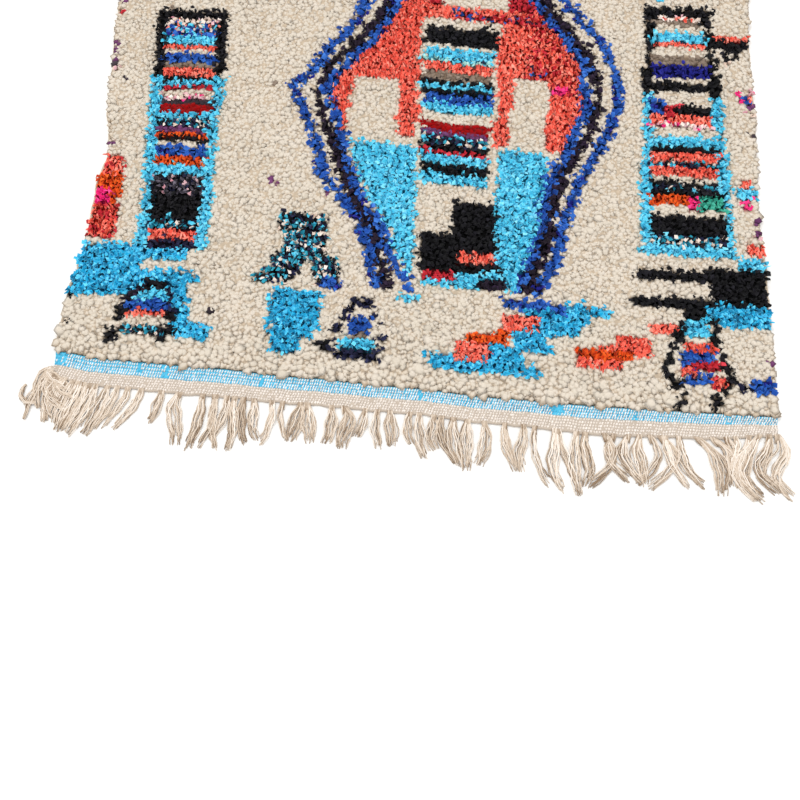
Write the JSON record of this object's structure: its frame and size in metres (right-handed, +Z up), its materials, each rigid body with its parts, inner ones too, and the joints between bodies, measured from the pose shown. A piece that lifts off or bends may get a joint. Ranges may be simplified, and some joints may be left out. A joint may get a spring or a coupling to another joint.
{
  "type": "azilal rug",
  "caption": "Hand-knotted azilal rug lying flat: lumpy wool pile with uneven sides, and at both ends a flat-woven strip with a knotted cotton fringe.",
  "frame": {"origin": "below the middle of the whole rug with its fringes, on the surface that it lies on", "axes": "+Y along the rug from its near end to its far end, +X across it, +Z up out of the pile"},
  "size_m": [1.4856, 2.5182, 0.017],
  "materials": {
    "wool_pile": "matt undyed cream wool knots",
    "rag_pile": "cut strips of dyed jersey and wool rag",
    "cotton_warp": "unbleached cotton warp and flat weave"
  },
  "bodies": {
    "root": {"pile_field": "wool_pile", "near_end_fringe": "cotton_warp", "far_end_fringe": "cotton_warp"}
  },
  "joints": []
}
